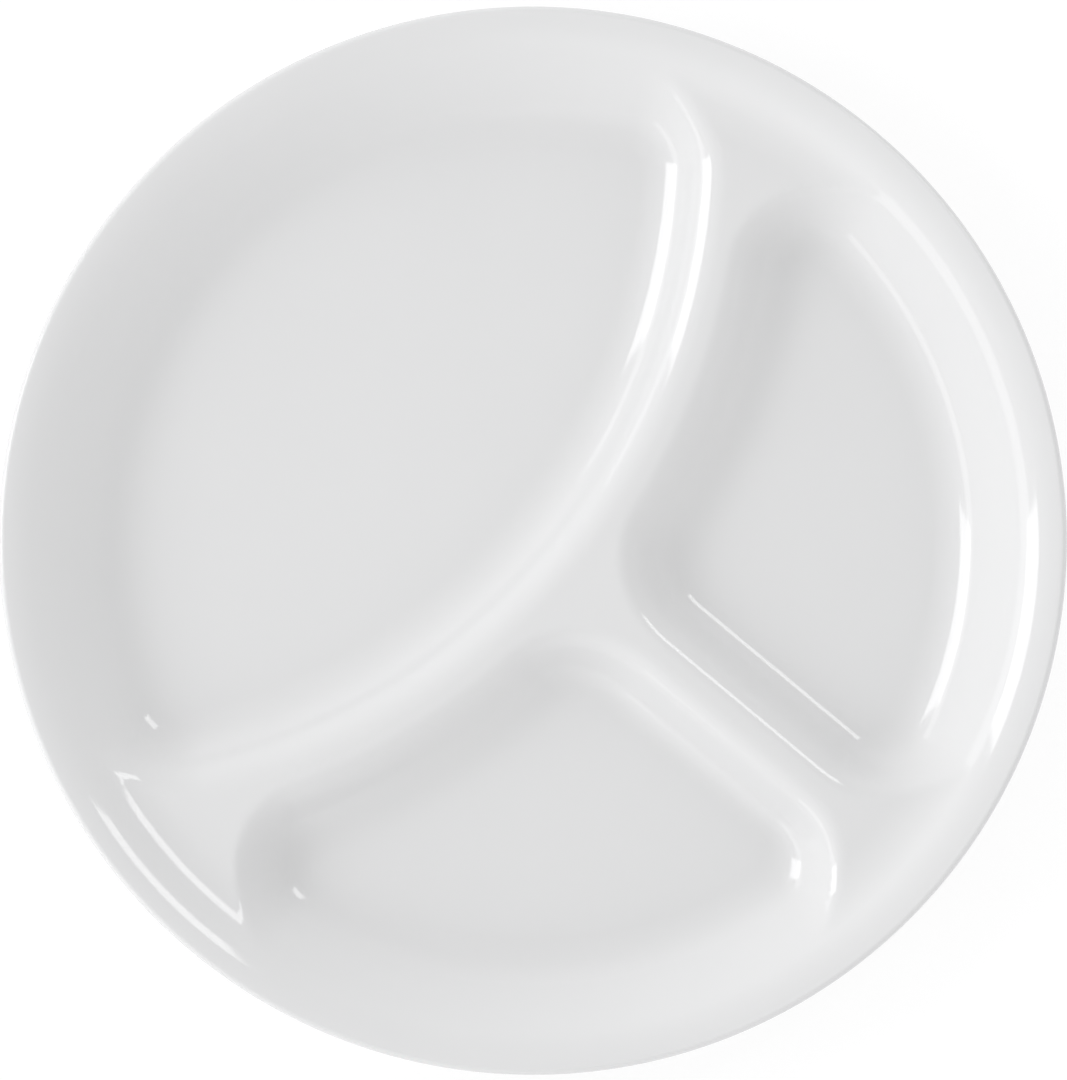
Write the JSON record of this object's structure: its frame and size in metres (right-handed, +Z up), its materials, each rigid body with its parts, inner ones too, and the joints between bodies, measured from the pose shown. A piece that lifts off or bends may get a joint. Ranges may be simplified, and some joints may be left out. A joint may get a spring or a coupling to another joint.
{
  "type": "divided compartment plate",
  "caption": "Round white glass dinner plate, pressed with a raised rim and a Y of low dividers that keep foods apart in one large well and smaller side wells.",
  "frame": {"origin": "centre of the plate, on the plane that it rests on", "axes": "+Z up out of the eating face, +X from the centre along the straight divider to the rim, with the big well towards -X"},
  "size_m": [0.26, 0.26, 0.0196],
  "materials": {
    "upper_clear_glass": "clear and glossy, fused to the white core, which shows through it",
    "opal_glass": "dense opal white",
    "lower_clear_glass": "clear and glossy, fused to the white core, which shows through it"
  },
  "bodies": {
    "root": {"upper_skin": "upper_clear_glass", "core_sheet": "opal_glass", "lower_skin": "lower_clear_glass"}
  },
  "joints": []
}
